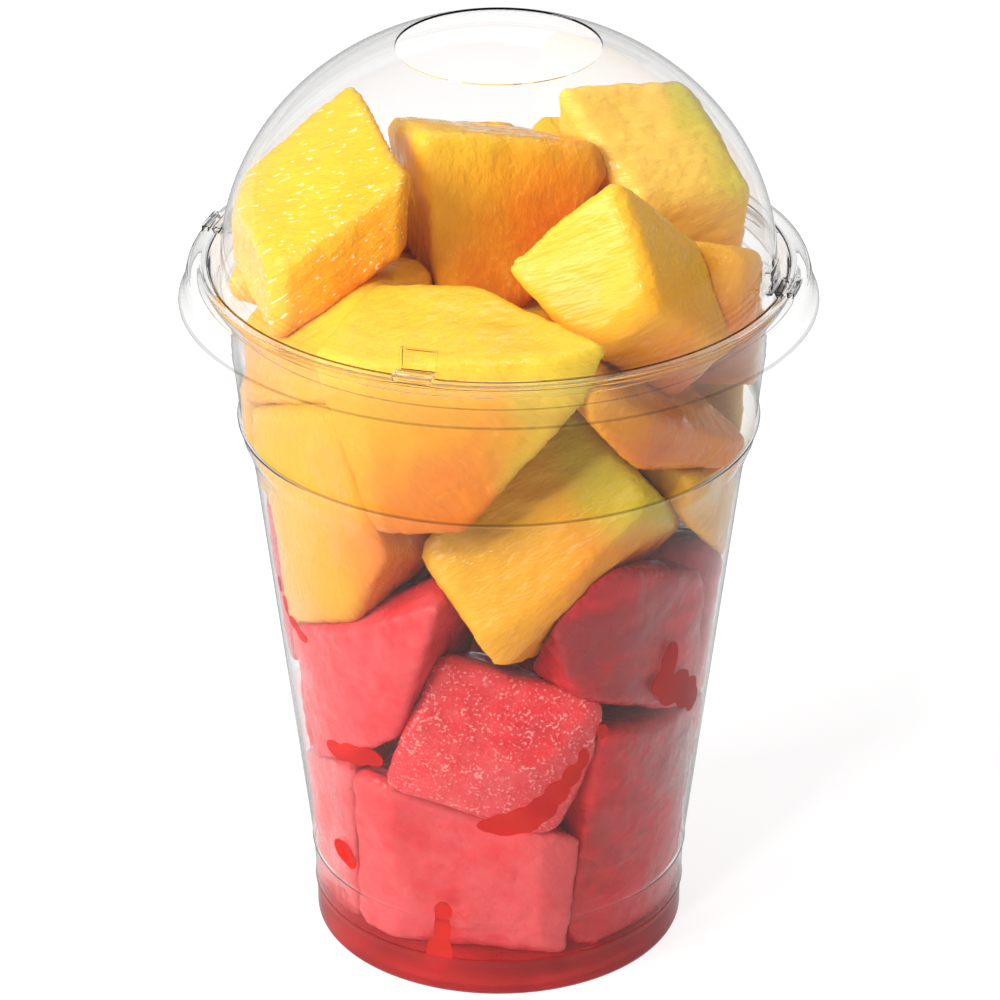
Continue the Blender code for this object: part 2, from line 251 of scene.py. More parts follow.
def arc(centre, radii, start, end, steps):
    """Points along part of an ellipse, angles in degrees from +radius towards +z."""
    points = []
    for i in range(steps + 1):
        angle = math.radians(start + (end - start) * i / steps)
        points.append((centre[0] + radii[0] * math.cos(angle), centre[1] + radii[1] * math.sin(angle)))
    return points


def pointing(azimuth, elevation):
    """Unit vector at an azimuth from the front towards +X and an elevation, in degrees."""
    a, e = math.radians(azimuth), math.radians(elevation)
    return (math.sin(a) * math.cos(e), -math.cos(a) * math.cos(e), math.sin(e))


def inner_radius(z):
    """Radius of the inner side of the cup, or of the dome before widen, at a height, in millimetres."""
    shell = bpy.context.scene.fruit_cup_shell
    lid_wall = shell.lid_wall / MM
    dome_radius = shell.dome_radius / MM
    up = (z * MM - shell.dome_base) / shell.dome_height
    if up > 0:
        return dome_radius * math.sqrt(1 - min(1.0, up) ** 2) - lid_wall
    for (r0, z0), (r1, z1) in zip(CUP_SIDE, CUP_SIDE[1:]):
        if z <= z1:
            wall = r0 + (r1 - r0) * max(0.0, z - z0) / (z1 - z0) - shell.cup_wall / MM
            return min(wall, dome_radius - lid_wall)
    return dome_radius - lid_wall


class Value:
    """A shader socket that takes part in Python expressions; each operator adds a Math node."""

    def __init__(self, paint, socket):
        self.paint = paint
        self.socket = socket

    def math(self, operation, *others):
        inputs = dict(enumerate((self, *others)))
        return self.paint.node("ShaderNodeMath", {"operation": operation}, inputs)["Value"]

    def __add__(self, other):
        return self.math("ADD", other)

    def __sub__(self, other):
        return self.math("SUBTRACT", other)

    def __rsub__(self, other):
        return (self * -1.0).math("ADD", other)

    def __mul__(self, other):
        return self.math("MULTIPLY", other)

    __radd__ = __add__
    __rmul__ = __mul__

    def step(self, low, high):
        """0 below low, 1 above high, and a soft change between."""
        settings = {"interpolation_type": "SMOOTHSTEP"}
        inputs = {"Value": self, "From Min": low, "From Max": high}
        return self.paint.node("ShaderNodeMapRange", settings, inputs)["Result"]


class Outputs:
    """A node's outputs by name, each wrapped as a Value."""

    def __init__(self, paint, node):
        self.paint = paint
        self.node = node

    def __getitem__(self, name):
        return Value(self.paint, self.node.outputs[name])


class Paint:
    """A material under construction."""

    def __init__(self, name):
        self.material = bpy.data.materials.new(name)
        self.material.use_nodes = True
        self.tree = self.material.node_tree
        self.tree.nodes.clear()

    def node(self, kind, settings=None, inputs=None):
        node = self.tree.nodes.new(kind)
        for key, value in (settings or {}).items():
            setattr(node, key, value)
        for key, value in (inputs or {}).items():
            if isinstance(value, Value):
                self.tree.links.new(value.socket, node.inputs[key])
            else:
                node.inputs[key].default_value = value
        return Outputs(self, node)

    def ramp(self, value, stops):
        made = self.node("ShaderNodeValToRGB", None, {"Fac": value})
        elements = made.node.color_ramp.elements
        while len(elements) < len(stops):
            elements.new(0.5)
        for element, (position, colour) in zip(elements, stops):
            element.position = position
            element.color = (*colour, 1.0)
        return made["Color"]

    def mix(self, factor, first, second, blend="MIX"):
        settings = {"data_type": "RGBA", "blend_type": blend}
        made = self.node("ShaderNodeMix", settings)
        for key, value in ((0, factor), (6, first), (7, second)):
            if isinstance(value, Value):
                self.tree.links.new(value.socket, made.node.inputs[key])
            elif key == 0:
                made.node.inputs[key].default_value = value
            else:
                made.node.inputs[key].default_value = (*value, 1.0)
        return Value(self, made.node.outputs[2])

    def vector(self, operation, first, second, output="Vector"):
        inputs = {0: first, 1: second}
        return self.node("ShaderNodeVectorMath", {"operation": operation}, inputs)[output]

    def object_points(self, location=(0, 0, 0), rotation=(0, 0, 0)):
        """Object coordinates, moved by -location and then turned back by rotation."""
        moved = self.vector("SUBTRACT", self.node("ShaderNodeTexCoord")["Object"], location)
        settings = {"rotation_type": "EULER_XYZ", "invert": True}
        inputs = {"Vector": moved, "Rotation": rotation}
        return self.node("ShaderNodeVectorRotate", settings, inputs)["Vector"]

    def scaled(self, point, scale):
        return self.vector("MULTIPLY", point, scale)

    def along(self, point, direction):
        """How far a point lies along a direction (azimuth, elevation), in metres."""
        return self.vector("DOT_PRODUCT", point, pointing(*direction), "Value")

    def noise(self, point, scale, detail, roughness):
        inputs = {"Vector": point, "Scale": scale, "Detail": detail, "Roughness": roughness}
        return self.node("ShaderNodeTexNoise", None, inputs)["Fac"]

    def bump(self, height, distance, strength):
        inputs = {"Height": height, "Distance": distance, "Strength": strength}
        return self.node("ShaderNodeBump", None, inputs)["Normal"]

    def shaded_by_cup(self, colour):
        """Make a colour darker below the rim, where the cup's wall and the lid's skirt take light away."""
        height = self.along(self.object_points(), (0, 90))
        return self.mix(height.step(0.120, 0.112), colour, (0.76, 0.70, 0.66), "MULTIPLY")

    def surface(self, shader):
        output = self.tree.nodes.new("ShaderNodeOutputMaterial")
        self.tree.links.new(shader.socket, output.inputs["Surface"])
        return self.material

    def clear_to_lamps(self, shader):
        """Let lamps shine through a clear shader onto what is behind it."""
        shadow = self.node("ShaderNodeLightPath")["Is Shadow Ray"]
        open_way = self.node("ShaderNodeBsdfTransparent")["BSDF"]
        return self.node("ShaderNodeMixShader", None, {0: shadow, 1: shader, 2: open_way})["Shader"]


def moulded_plastic():
    """Clear plastic, with fine dark lines painted at two edges as the shade that refraction shows there."""
    paint = Paint("moulded_plastic")
    height = paint.along(paint.object_points(), (0, 90)) * (1.0 / MM)
    lines = 0.0
    for middle, half_width, strength in PAINTED_EDGE_LINES:
        off = (height - middle).math("ABSOLUTE")
        lines = off.step(half_width, half_width * 0.4) * strength + lines
    shader = paint.node("ShaderNodeBsdfPrincipled", None, {
        "Base Color": paint.mix(lines, (0.99, 0.99, 0.985), (0.05, 0.045, 0.045)),
        "Roughness": 0.0,
        "IOR": 1.3,
        "Specular IOR Level": 0.2,
        "Transmission Weight": 1.0,
    })["BSDF"]
    return paint.surface(shader)


def finish_plastic(obj, *replaced):
    """Finish a clear shell that lamps and soft light pass through as if it weren't there."""
    obj.visible_shadow = False
    obj.visible_diffuse = False
    finish_piece(obj, "clear_plastic", bpy.data.materials["moulded_plastic"], *replaced)


def juice(name, thin, thick, clear):
    """Clear red juice, from its colour where it is thin to that where it is thick."""
    paint = Paint(name)
    cloud = paint.noise(paint.object_points(), 120.0, 3.0, 0.5)
    shader = paint.node("ShaderNodeBsdfPrincipled", None, {
        "Base Color": paint.mix(cloud.step(0.35, 0.7), thin, thick),
        "Roughness": 0.03,
        "IOR": 1.34,
        "Transmission Weight": clear,
    })["BSDF"]
    return paint.surface(paint.clear_to_lamps(shader))


def flesh_shader(paint, colour, wet, relief, depth, radius, scale):
    """Wet flesh that light goes into, with relief in its surface."""
    shader = paint.node("ShaderNodeBsdfPrincipled", {"subsurface_method": "BURLEY"}, {
        "Base Color": colour,
        "Roughness": 0.40 - wet * 0.22,
        "IOR": 1.38,
        "Subsurface Weight": 0.4,
        "Subsurface Radius": radius,
        "Subsurface Scale": scale,
        "Specular IOR Level": 0.3,
        "Coat Weight": wet * 0.5,
        "Coat Roughness": 0.08,
        "Coat IOR": 1.34,
        "Normal": paint.bump(relief, depth, 0.8),
    })["BSDF"]
    return paint.surface(shader)


def pineapple_flesh(name, centre, fibre, look):
    """Juicy fibrous flesh: fine streaks along the fibre, partly painted highlight, and deeper in colour
    towards one side, which on the chunks in front is set away from the key light as painted shade.
    """
    colours = bpy.context.scene.fruit_cup_fruit
    paint = Paint(name)
    point = paint.object_points(location=centre, rotation=fibre)
    place = paint.object_points(location=centre)
    large = paint.noise(point, 75.0, 1.0, 0.5)
    streak = paint.noise(paint.scaled(point, (1000.0, 1000.0, 90.0)), 1.0, 2.0, 0.62)
    # Darker orange to one side: the flesh's own tone, and on chunks in front painted shade away from the
    # key light.
    deep = (paint.along(place, look["deep"]) * 46.0 + (large - 0.5) * 0.9 + look["ripe"]).step(-0.6, 1.1)
    body = paint.ramp(deep + (streak - 0.5) * 0.2, PINEAPPLE_TONES)
    # Paler streaks along the fibre: the fibres' own lighter tone, and partly painted highlight.
    body = paint.mix(streak.step(0.58, 0.74) * 0.3, body, (1.0, 0.66, 0.12))
    if "pale" in look:
        body = paint.mix(deep.step(0.6, 0.1) * look["pale"], body, colours.pale_flesh)
    # Painted glints: near-white streaks along the fibre, where wet flesh would catch the light.
    if "wet_fibre" in look:
        wet_fibre = paint.noise(paint.scaled(point, (1600.0, 1600.0, 80.0)), 1.0, 1.0, 0.5)
        body = paint.mix(wet_fibre.step(0.66, 0.71) * look["wet_fibre"], body, colours.wet_fibre)
    green = (paint.along(place, look["rind"]) * 70.0 + (large - 0.5) * 1.2).step(0.55, 1.1) * look["green"]
    body = paint.shaded_by_cup(paint.mix(green, body, colours.rind))
    return flesh_shader(paint, body, large.step(0.35, 0.65), streak + large * 0.6, 0.0004,
                        (1.0, 0.42, 0.08), 0.006)


def watermelon_flesh(name, centre, fibre, look):
    """Grainy wet flesh with pale grains, which are partly painted sparkle, soft veins and darker blotches.
    """
    paint = Paint(name)
    point = paint.object_points(location=centre, rotation=fibre)
    large = paint.noise(point, 65.0, 2.0, 0.5)
    crumb = paint.noise(point, 480.0, 2.0, 0.6)
    veins = paint.noise(paint.scaled(point, (330.0, 330.0, 60.0)), 1.0, 1.0, 0.55)
    # The chunk's tone: its ripeness and, on the chunks to the right, painted shade.
    tone = (large - 0.5) + (veins - 0.5) * 0.5 + (crumb - 0.5) * 0.35 + look["ripe"]
    body = paint.ramp(tone, WATERMELON_TONES)
    # Pale grains: the flesh's own, and partly painted sparkle where wet grains would catch the light.
    if "grain" in look:
        grain = paint.noise(point, 2100.0, 1.0, 0.6)
        pale = (grain * 0.8 + crumb * 0.4).step(0.67, 0.75) * look["grain"]
        body = paint.mix(pale, body, bpy.context.scene.fruit_cup_fruit.grain)
    body = paint.shaded_by_cup(body)
    return flesh_shader(paint, body, large.step(0.35, 0.65), crumb + veins * 0.4, 0.0005,
                        (1.0, 0.22, 0.18), 0.005)


def pale_floor():
    paint = Paint("pale_floor")
    shader = paint.node("ShaderNodeBsdfPrincipled", None, {
        "Base Color": (0.32, 0.32, 0.32, 1.0),
        "Roughness": 0.6,
        "Emission Color": (1.0, 1.0, 1.0, 1.0),
        "Emission Strength": 0.78,
    })["BSDF"]
    return paint.surface(shader)


def cloud_texture(name, size):
    texture = bpy.data.textures.new(name, "CLOUDS")
    texture.noise_scale = size
    texture.noise_depth = 2
    texture.noise_basis = "ORIGINAL_PERLIN"
    return texture


def cut_fruit(node, voxel, rounding, relief, fibre=None):
    """A fine copy of a chunk's solid: its edges rounded and its faces uneven, finely along a fibre."""
    source = frame["nodes"][node]
    obj = bpy.data.objects.new(f"{node}_flesh", source.data.copy())
    bpy.context.scene.collection.objects.link(obj)
    make_active(obj)
    bpy.ops.object.mode_set(mode="EDIT")
    bpy.ops.mesh.select_all(action="SELECT")
    bpy.ops.mesh.remove_doubles(threshold=0.00001)
    bpy.ops.object.mode_set(mode="OBJECT")
    remesh = obj.modifiers.new("Fine", "REMESH")
    remesh.mode = "VOXEL"
    remesh.voxel_size = voxel
    rounder = obj.modifiers.new("Round", "SMOOTH")
    rounder.factor = 0.5
    rounder.iterations = rounding
    for i, (size, strength) in enumerate(relief):
        uneven = obj.modifiers.new(f"Uneven {i}", "DISPLACE")
        uneven.texture = cloud_texture(f"{node}_uneven_{i}", size)
        uneven.texture_coords = "LOCAL" if fibre is None or i == 0 else "OBJECT"
        if uneven.texture_coords == "OBJECT":
            uneven.texture_coords_object = fibre
        uneven.strength = strength
        uneven.mid_level = 0.38
    apply_modifiers(obj)
    press_against_wall(obj)
    smooth(obj, 60)
    return obj


def press_against_wall(obj):
    """Flatten what would stand out of the wall against its inner side."""
    for vert in obj.data.vertices:
        limit = (inner_radius(vert.co.z / MM) - FRUIT_GAP) * MM
        reach = math.hypot(vert.co.x, vert.co.y)
        if reach > limit:
            vert.co.x *= limit / reach
            vert.co.y *= limit / reach


def fibre_guide(name, rotation):
    """An empty whose space is long along the fibre, for relief that runs along it."""
    guide = bpy.data.objects.new(name, None)
    bpy.context.scene.collection.objects.link(guide)
    guide.rotation_euler = rotation
    guide.scale = (1, 1, 7)
    bpy.context.view_layer.update()
    return guide


def towards(azimuth, elevation):
    """Rotation that takes +Z to a direction."""
    return Vector(pointing(azimuth, elevation)).to_track_quat("Z", "Y").to_euler()


def node_centre(node):
    low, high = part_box(node)
    return tuple((a + b) / 2 for a, b in zip(low, high))


def length_property(name, description, millimetres):
    """A size property, given in millimetres and kept in metres."""
    return bpy.props.FloatProperty(
        name=name, description=description, default=millimetres * MM, unit="LENGTH", precision=5
    )


def colour_property(name, description, default):
    return bpy.props.FloatVectorProperty(
        name=name, description=description, default=default, subtype="COLOR", min=0.0, max=1.0
    )


def factor_property(name, description, default):
    return bpy.props.FloatProperty(
        name=name, description=description, default=default, subtype="FACTOR", min=0.0, max=1.0
    )


def power_property(name, description, watts):
    return bpy.props.FloatProperty(name=name, description=description, default=watts, unit="POWER")


class ShellSizes(bpy.types.PropertyGroup):
    """Sizes of the cup and the lid."""
    steps: bpy.props.IntProperty(name="Steps", description="Faces round the cup", default=240, min=60)
    cup_wall: length_property("Cup wall", "Wall of the cup", 0.45)
    lid_wall: length_property("Lid wall", "Wall of the lid", 0.35)
    dome_base: length_property("Dome base", "Height of the dome's foot", 120.3)
    dome_radius: length_property("Dome radius", "Radius of the dome's outline", 44.3)
    dome_height: length_property("Dome height", "Height of the full dome", 40.13)
    hole_radius: length_property("Hole radius", "Radius of the hole in the lid's outline", 16.24)


class FruitLooks(bpy.types.PropertyGroup):
    """How finely the fruit is made, the colours of its paler and greener parts, of the painted glints on
    the pineapple's fibres and of the watermelon's pale grains, which are partly painted sparkle.
    """
    voxel: length_property("Grain of the mesh", "Size of the mesh's cells", 0.6)
    pale_flesh: colour_property("Pale flesh", "Paler pineapple", (1.0, 0.68, 0.16))
    # The colour of the painted glints along the pineapple's fibres.
    wet_fibre: colour_property("Fibre glints", "Glistening fibres of the pineapple", (1.0, 0.93, 0.62))
    rind: colour_property("Rind side", "Pineapple towards its rind", (0.62, 0.56, 0.03))
    # The colour of the watermelon's pale grains, which are partly painted sparkle.
    grain: colour_property("Grains", "Pale grains of the watermelon", (1.0, 0.42, 0.40))


class JuiceLooks(bpy.types.PropertyGroup):
    """The juice in the foot and its films on the wall."""
    level: length_property("Level", "Height of the juice in the foot", 6.5)
    pool_thin: colour_property("Pool, thin", "Juice in the foot where it is thin", (0.54, 0.018, 0.018))
    pool_thick: colour_property("Pool, thick", "Juice in the foot where it is thick", (0.42, 0.012, 0.012))
    pool_clear: factor_property("Pool, clear", "How clear the juice in the foot is", 0.5)
    film_thin: colour_property("Film, thin", "Juice on the wall where it is thin", (0.70, 0.025, 0.012))
    film_thick: colour_property("Film, thick", "Juice on the wall where it is thick", (0.60, 0.012, 0.010))
    film_clear: factor_property("Film, clear", "How clear the juice on the wall is", 0.55)


class StageLights(bpy.types.PropertyGroup):
    """How strong the lamps are."""
    key_power: power_property("Key light", "Large lamp at the front left", 9.3)
    glint_power: power_property("Glint light", "Small lamp above the front", 2.6)
    top_power: power_property("Top light", "Large lamp above the back", 2.6)


class MakeCup(bpy.types.Operator):
    """The clear cup, with its foot, ledges, stacking edge and rolled rim"""
    bl_idname = "fruit_cup.make_cup"
    bl_label = "Cup"

    def execute(self, context):
        sizes = context.scene.fruit_cup_shell
        corner = arc(FOOT_CORNER, (1.3, 1.3), -75, -15, 4)
        curl = arc(RIM_CENTRE, (RIM_RADIUS, RIM_RADIUS), 170, 20, 10)
        outline = [*CUP_FOOT, *corner, *CUP_SIDE, *curl]
        cup = turned("cup_shell", outline[::-1], sizes.steps, close_foot=True)
        wall = cup.modifiers.new("Wall", "SOLIDIFY")
        wall.thickness = sizes.cup_wall
        wall.offset = 1.0
        apply_modifiers(cup)
        smooth(cup, 60)
        finish_plastic(cup, "cup")
        return {"FINISHED"}


class MakeLid(bpy.types.Operator):
    """The dome lid, with its hole, channel, bead, stacking lugs and skirt"""
    bl_idname = "fruit_cup.make_lid"
    bl_label = "Lid"

    def execute(self, context):
        sizes = context.scene.fruit_cup_shell
        top = math.degrees(math.acos(sizes.hole_radius / sizes.dome_radius))
        centre = (0, sizes.dome_base / MM)
        radii = (sizes.dome_radius / MM, sizes.dome_height / MM)
        dome = arc(centre, radii, top, 8, 28) + arc(centre, radii, 6.6, 0, 6)
        lid = turned("lid_shell", [*dome, *LID_SHOULDER], sizes.steps)
        widen(lid, LID_EASE)
        self.raise_lugs(lid)
        wall = lid.modifiers.new("Wall", "SOLIDIFY")
        wall.thickness = sizes.lid_wall
        wall.offset = -1.0
        apply_modifiers(lid)
        smooth(lid, 60)
        finish_plastic(lid, "lid")
        return {"FINISHED"}

    def raise_lugs(self, lid):
        """Four stacking lugs that stand out of the foot of the dome and lift the bead beside them."""
        dome_radius = bpy.context.scene.fruit_cup_shell.dome_radius
        half_width = math.degrees(LUG_HALF_WIDTH * MM / dome_radius)
        half_spacing = LUG_SPACING / 2
        bpy.context.tool_settings.mesh_select_mode = (False, False, True)
        lid.data.vertices.foreach_set("select", [False] * len(lid.data.vertices))
        lid.data.edges.foreach_set("select", [False] * len(lid.data.edges))
        for polygon in lid.data.polygons:
            centre = polygon.center
            azimuth = math.degrees(math.atan2(centre.x, -centre.y))
            off = (azimuth - LUG_AZIMUTH + half_spacing) % LUG_SPACING - half_spacing
            polygon.select = LUG_FOOT < centre.z / MM < LUG_TOP and abs(off) < half_width
        make_active(lid)
        bpy.ops.object.mode_set(mode="EDIT")
        bpy.ops.mesh.extrude_region_shrink_fatten(TRANSFORM_OT_shrink_fatten={"value": LUG_DEPTH * MM})
        bpy.ops.object.mode_set(mode="OBJECT")
        bpy.context.tool_settings.mesh_select_mode = (True, False, False)


# How each pineapple chunk that shows in front is coloured: its ripeness, the side where it turns deeper
# orange, which is set away from the key light so that it is painted shade as well as the flesh's own tone,
# where its greener rind side lies and how strongly that is, and the way its fibres run. Directions are
# (azimuth, elevation) in degrees. Two more entries, where given, say how strongly painted glints along the
# fibres and paler flesh show.
PINEAPPLE_LOOKS = {
    "pineapple_top_left": {"ripe": -0.25, "deep": (70, -40), "rind": (-60, 0), "green": 0.0,
                           "fibre": (60, 35), "wet_fibre": 0.6},
    "pineapple_top_middle": {"ripe": 0.12, "deep": (60, -20), "rind": (20, 60), "green": 0.3,
                             "fibre": (20, 70)},
    "pineapple_top_right": {"ripe": -0.55, "deep": (60, -60), "rind": (85, 30), "green": 0.8,
                            "fibre": (80, 10), "pale": 0.5},
    "pineapple_top_front": {"ripe": -0.15, "deep": (60, -50), "rind": (90, 0), "green": 0.3,
                            "fibre": (60, 30)},
    "pineapple_front": {"ripe": 0.0, "deep": (50, -50), "rind": (60, -10), "green": 0.6,
                        "fibre": (-60, 30)},
    "pineapple_low_front": {"ripe": -0.1, "deep": (70, -20), "rind": (70, 50), "green": 0.8,
                            "fibre": (60, 40)},
    "pineapple_low_left": {"ripe": -0.1, "deep": (60, -20), "rind": (-80, 0), "green": 0.3,
                           "fibre": (-70, 60)},
    "pineapple_rim_right": {"ripe": 0.1, "deep": (60, -50), "rind": (60, 30), "green": 0.6,
                            "fibre": (60, 60)},
}


class MakePineapple(bpy.types.Operator):
    """Every pineapple chunk"""
    bl_idname = "fruit_cup.make_pineapple"
    bl_label = "Pineapple"

    def execute(self, context):
        draw = random.Random(11)
        for node in sorted(n for n in frame["nodes"] if n.startswith("pineapple")):
            plain = {
                "ripe": draw.uniform(-0.2, 0.3),
                "deep": (draw.uniform(-180, 180), draw.uniform(-60, 0)),
                "rind": (draw.uniform(-180, 180), draw.uniform(0, 60)),
                "green": draw.uniform(0.0, 0.5),
                "fibre": (draw.uniform(-180, 180), draw.uniform(-30, 60)),
            }
            look = PINEAPPLE_LOOKS.get(node, plain)
            rotation = towards(*look["fibre"])
            guide = fibre_guide(f"{node}_fibre", rotation)
            voxel = context.scene.fruit_cup_fruit.voxel
            chunk = cut_fruit(node, voxel, PINEAPPLE_ROUNDING, PINEAPPLE_RELIEF, guide)
            bpy.data.objects.remove(guide)
            material = pineapple_flesh(f"{node}_flesh", node_centre(node), rotation, look)
            finish_piece(chunk, "pineapple_flesh", material, node)
        return {"FINISHED"}


# How dark each watermelon chunk that shows in front is: its ripeness, and on the chunks to the right
# painted shade as well; and how strongly its pale grains show, which are partly painted sparkle.
WATERMELON_LOOKS = {
    "watermelon_front": {"ripe": 0.25, "grain": 0.7},
    "watermelon_left": {"ripe": 0.2},
    "watermelon_low_left": {"ripe": -0.05},
    "watermelon_low_front": {"ripe": 0.1},
    "watermelon_foot_left": {"ripe": 0.1},
    "watermelon_right": {"ripe": 0.85},
    "watermelon_low_right": {"ripe": 0.75},
    "watermelon_foot_right": {"ripe": 0.7},
}


class MakeWatermelon(bpy.types.Operator):
    """Every watermelon chunk"""
    bl_idname = "fruit_cup.make_watermelon"
    bl_label = "Watermelon"

    def execute(self, context):
        draw = random.Random(5)
        for node in sorted(n for n in frame["nodes"] if n.startswith("watermelon")):
            plain = {"ripe": draw.uniform(0.2, 0.6)}
            look = WATERMELON_LOOKS.get(node, plain)
            rotation = towards(draw.uniform(-180, 180), draw.uniform(-30, 60))
            voxel = context.scene.fruit_cup_fruit.voxel
            chunk = cut_fruit(node, voxel, WATERMELON_ROUNDING, WATERMELON_RELIEF)
            material = watermelon_flesh(f"{node}_flesh", node_centre(node), rotation, look)
            finish_piece(chunk, "watermelon_flesh", material, node)
        return {"FINISHED"}


class MakeJuice(bpy.types.Operator):
    """The juice in the foot of the cup, reaching just into the wall"""
    bl_idname = "fruit_cup.make_juice"
    bl_label = "Juice"

    def execute(self, context):
        sizes = context.scene.fruit_cup_shell
        level = context.scene.fruit_cup_juice.level / MM
        corner = arc(FOOT_CORNER, (1.1, 1.1), -75, -15, 4)
        side = [(30.9, 1.4), (inner_radius(5.5) + INTO_WALL, 5.5)]
        wall = inner_radius(level)
        edge = [(wall + INTO_WALL, level + MENISCUS), (wall - 0.7, level + 0.1)]
        outline = [*JUICE_BASE, *corner, *side, *edge, (0.5, level)]
        juice = turned("juice_pool", outline, sizes.steps, close_foot=True)
        make_active(juice)
        bpy.ops.object.mode_set(mode="EDIT")
        bpy.ops.mesh.select_all(action="SELECT")
        bpy.ops.mesh.fill_holes(sides=0)
        bpy.ops.mesh.normals_make_consistent(inside=False)
        bpy.ops.object.mode_set(mode="OBJECT")
        smooth(juice, 50)
        finish_piece(juice, "juice", bpy.data.materials["red_juice"], "juice")
        return {"FINISHED"}


# Films of juice between the fruit and the wall: each is a run of spots that flow together, given by azimuth
# from the front in degrees, height, half width and half height in millimetres.
JUICE_FILMS = {
    "front_drop": ((28, 51, 1.1, 1.7), (23, 46.5, 1.1, 2.2), (20, 43.5, 1.8, 2.2), (16, 40.5, 2.4, 2.4),
                   (12, 37.6, 2.9, 2.7), (7, 35.6, 3.4, 2.8), (2, 34.8, 3.4, 2.4), (-2.5, 34.6, 2.4, 1.4)),
    "right_film": ((49, 60, 2.2, 3.9), (46.5, 56.5, 2.4, 2.6), (53, 53.8, 4.4, 3.2), (60, 50.8, 3.6, 3.0),
                   (64, 48.2, 2.4, 2.2)),
    "foot_drip": ((-17, 16, 1.7, 2.2), (-17.5, 12.5, 1.6, 3.2), (-18.5, 8, 2.5, 3.2),
                  (-20.5, 5.5, 2.2, 1.8)),
    "left_line": ((-71, 68, 0.9, 1.7), (-68.5, 65, 1.0, 1.8), (-64.5, 62.8, 1.9, 1.1),
                  (-60, 61.5, 1.9, 1.0)),
    "left_gap": ((-50, 42.3, 3.0, 1.8), (-43, 43.3, 3.4, 2.0), (-37, 44.2, 2.8, 1.8)),
    "left_blotch": ((-53.7, 21.1, 2.8, 2.3), (-51, 19.8, 1.8, 1.6)),
}


class MakeFilms(bpy.types.Operator):
    """Thin juice that runs between the fruit and the wall"""
    bl_idname = "fruit_cup.make_films"
    bl_label = "Juice films"

    def execute(self, context):
        for name, spots in JUICE_FILMS.items():
            self.make_film(f"juice_{name}", spots)
        return {"FINISHED"}

    def make_film(self, name, spots):
        """Flatten the spots, melt them into one, and wrap that on the wall's inner side."""
        middle = inner_radius(spots[0][1])
        parts = []
        for azimuth, height, half_width, half_height in spots:
            deselect_all()
            along_wall = math.radians(azimuth) * middle
            bpy.ops.mesh.primitive_uv_sphere_add(
                segments=24, ring_count=16, radius=MM, location=(along_wall * MM, 0, height * MM),
                scale=(half_width, FILM_HALF_THICKNESS, half_height),
            )
            parts.append(bpy.context.object)
        deselect_all()
        for part in parts:
            part.select_set(True)
        bpy.context.view_layer.objects.active = parts[0]
        bpy.ops.object.join()
        film = bpy.context.object
        film.name = name
        bpy.ops.object.transform_apply(location=True, rotation=True, scale=True)
        melt = film.modifiers.new("Melt", "REMESH")
        melt.mode = "VOXEL"
        melt.voxel_size = FILM_CELL * MM
        even = film.modifiers.new("Even", "SMOOTH")
        even.iterations = 16
        apply_modifiers(film)
        for vert in film.data.vertices:
            azimuth = vert.co.x / (middle * MM)
            radius = inner_radius(vert.co.z / MM) * MM + min(vert.co.y, FILM_INTO_WALL * MM)
            vert.co = (radius * math.sin(azimuth), -radius * math.cos(azimuth), vert.co.z)
        bpy.ops.object.mode_set(mode="EDIT")
        bpy.ops.mesh.select_all(action="SELECT")
        bpy.ops.mesh.normals_make_consistent(inside=False)
        bpy.ops.object.mode_set(mode="OBJECT")
        smooth(film, 60)
        finish_piece(film, "juice", bpy.data.materials["juice_film"])


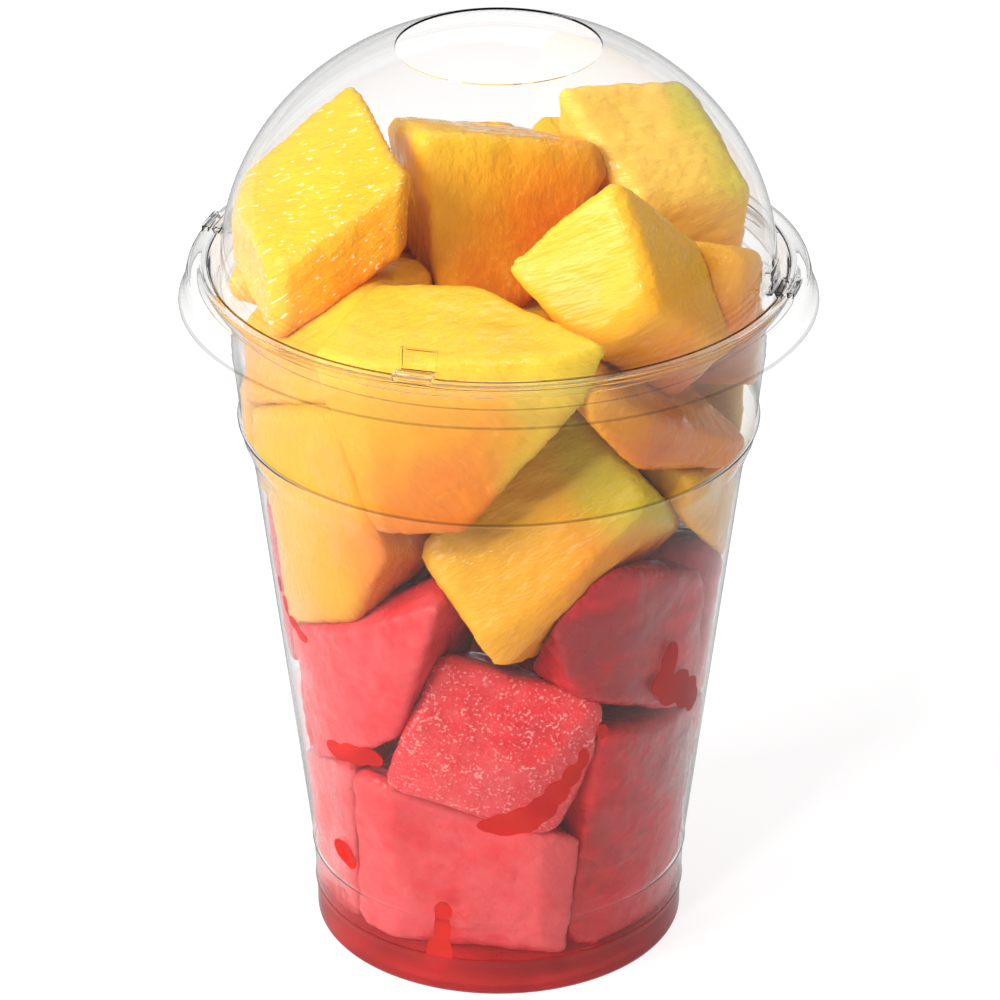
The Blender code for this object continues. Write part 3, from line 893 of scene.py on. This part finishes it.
class MakeStage(bpy.types.Operator):
    """The pale floor, the soft lights and the camera"""
    bl_idname = "fruit_cup.make_stage"
    bl_label = "Stage"

    def area_light(self, name, place, size, watts, lit):
        """A soft lamp that lights the fruit and the floor but leaves no patch of gloss on the plastic."""
        data = bpy.data.lights.new(name, "AREA")
        data.shape = "RECTANGLE"
        data.size = size
        data.size_y = size
        data.energy = watts
        light = bpy.data.objects.new(name, data)
        light.location = place
        light.visible_transmission = False
        light.light_linking.receiver_collection = lit
        aim = Vector(LAMP_TARGET) - Vector(place)
        light.rotation_euler = aim.to_track_quat("-Z", "Y").to_euler()
        bpy.context.scene.collection.objects.link(light)

    def studio_world(self):
        """A white room: bright through the plastic, dimmer in its gloss and on the fruit."""
        world = bpy.data.worlds.new("soft_studio")
        world.use_nodes = True
        nodes, links = world.node_tree.nodes, world.node_tree.links
        path = nodes.new("ShaderNodeLightPath")
        gloss = nodes.new("ShaderNodeMapRange")
        gloss.inputs["To Min"].default_value = ROOM_SEEN
        gloss.inputs["To Max"].default_value = ROOM_MIRRORED
        links.new(path.outputs["Glossy Depth"], gloss.inputs["Value"])
        level = nodes.new("ShaderNodeMapRange")
        level.inputs["To Max"].default_value = ROOM_ON_FRUIT
        links.new(path.outputs["Diffuse Depth"], level.inputs["Value"])
        links.new(gloss.outputs["Result"], level.inputs["To Min"])
        links.new(level.outputs["Result"], nodes["Background"].inputs["Strength"])
        nodes["Background"].inputs["Color"].default_value = (1.0, 1.0, 1.0, 1.0)
        return world

    def photo_camera(self):
        data = bpy.data.cameras.new("photo_camera")
        data.lens = CAMERA_LENS
        data.sensor_width = CAMERA_SENSOR
        data.shift_x = CAMERA_SHIFT
        camera = bpy.data.objects.new("photo_camera", data)
        camera.location = CAMERA_PLACE
        camera.rotation_euler = Euler((math.radians(90 - CAMERA_TILT), 0, 0))
        bpy.context.scene.collection.objects.link(camera)
        return camera

    def execute(self, context):
        deselect_all()
        bpy.ops.mesh.primitive_plane_add(size=6.0, location=(0, 0, 0))
        floor = context.object
        floor.name = "floor"
        floor.data.materials.append(pale_floor())
        floor.visible_glossy = False
        lit = bpy.data.collections.new("lit_by_lamps")
        for obj in bpy.data.objects:
            if obj.name.endswith("_flesh") or obj.name.startswith("juice_") or obj == floor:
                lit.objects.link(obj)
        for name, place, size, power_name in LAMPS:
            watts = getattr(context.scene.fruit_cup_stage, power_name)
            self.area_light(name, place, size, watts, lit)
        context.scene.world = self.studio_world()
        context.scene.view_settings.view_transform = "Standard"
        context.scene.camera = self.photo_camera()
        return {"FINISHED"}


OPERATORS = (MakeCup, MakeLid, MakePineapple, MakeWatermelon, MakeJuice, MakeFilms, MakeStage)


class FruitCupPanel(bpy.types.Panel):
    """Lists the pieces of the fruit cup"""
    bl_idname = "VIEW3D_PT_fruit_cup"
    bl_label = "Fruit cup"
    bl_space_type = "VIEW_3D"
    bl_region_type = "UI"
    bl_category = "Fruit cup"

    def draw(self, context):
        for group_name in GROUPS:
            group = getattr(context.scene, group_name)
            for name in group.__annotations__:
                self.layout.prop(group, name)
        for operator in OPERATORS:
            self.layout.operator(operator.bl_idname)


# The scene's properties, by the name that the operators and the panel read them under.
GROUPS = {
    "fruit_cup_shell": ShellSizes,
    "fruit_cup_fruit": FruitLooks,
    "fruit_cup_juice": JuiceLooks,
    "fruit_cup_stage": StageLights,
}

CLASSES = (*GROUPS.values(), *OPERATORS, FruitCupPanel)


def register():
    for cls in CLASSES:
        bpy.utils.register_class(cls)
    for name, group in GROUPS.items():
        setattr(bpy.types.Scene, name, bpy.props.PointerProperty(type=group))


def unregister():
    for name in GROUPS:
        delattr(bpy.types.Scene, name)
    for cls in reversed(CLASSES):
        bpy.utils.unregister_class(cls)


def main():
    register()
    moulded_plastic()
    looks = bpy.context.scene.fruit_cup_juice
    juice("red_juice", looks.pool_thin, looks.pool_thick, looks.pool_clear)
    juice("juice_film", looks.film_thin, looks.film_thick, looks.film_clear)
    bpy.ops.fruit_cup.make_cup()
    bpy.ops.fruit_cup.make_lid()
    bpy.ops.fruit_cup.make_pineapple()
    bpy.ops.fruit_cup.make_watermelon()
    bpy.ops.fruit_cup.make_juice()
    bpy.ops.fruit_cup.make_films()
    bpy.ops.fruit_cup.make_stage()


if __name__ == "__main__":
    main()
